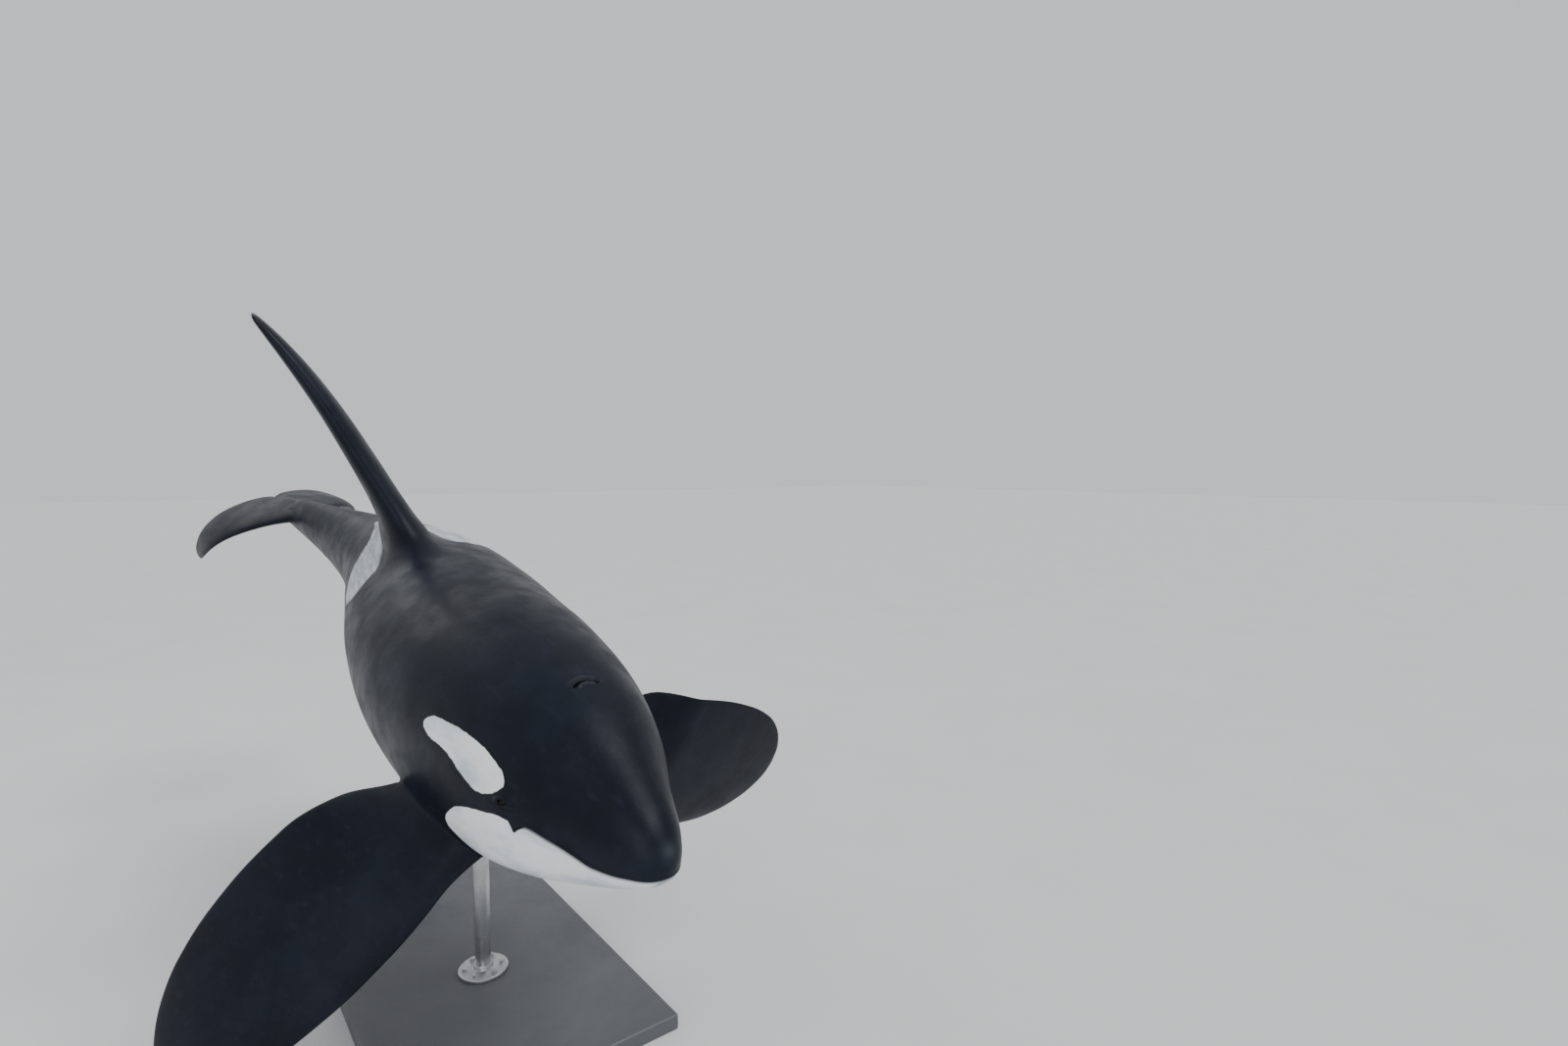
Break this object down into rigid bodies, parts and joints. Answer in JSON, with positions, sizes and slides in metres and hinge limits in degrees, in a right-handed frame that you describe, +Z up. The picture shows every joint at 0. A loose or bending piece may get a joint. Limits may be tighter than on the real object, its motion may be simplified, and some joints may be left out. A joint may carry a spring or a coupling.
{
  "type": "life-size orca model on a display stand",
  "caption": "Life-size adult male orca swimming with spread flippers, a tall leaning dorsal fin and curled flukes, held by rods on a flat display base.",
  "frame": {"origin": "on the floor, at the middle of the stand base's underside", "axes": "+X towards the snout end, +Y towards the animal's left side, +Z up"},
  "size_m": [7.0453, 3.6575, 4.1663],
  "materials": {
    "black_skin": "satin wet-look black skin with fine mottle",
    "white_skin": "satin white skin",
    "eye": "glossy dark brown",
    "stand_base": "satin dark grey paint",
    "stand_steel": "brushed"
  },
  "bodies": {
    "root": {"head": "black_skin", "lower_jaw": "white_skin", "chest": "black_skin", "torso": "black_skin", "loin": "black_skin", "tail_stock": "black_skin", "dorsal_fin": "black_skin", "eye_left": "eye", "eye_right": "eye", "flipper_left": "black_skin", "flipper_right": "black_skin", "fluke_left": "black_skin", "fluke_right": "black_skin", "stand_base": "stand_base", "stand_rod_front": "stand_steel", "stand_flange_front": "stand_steel", "stand_cup_front": "stand_steel", "stand_rod_rear": "stand_steel", "stand_flange_rear": "stand_steel", "stand_cup_rear": "stand_steel"}
  },
  "joints": []
}
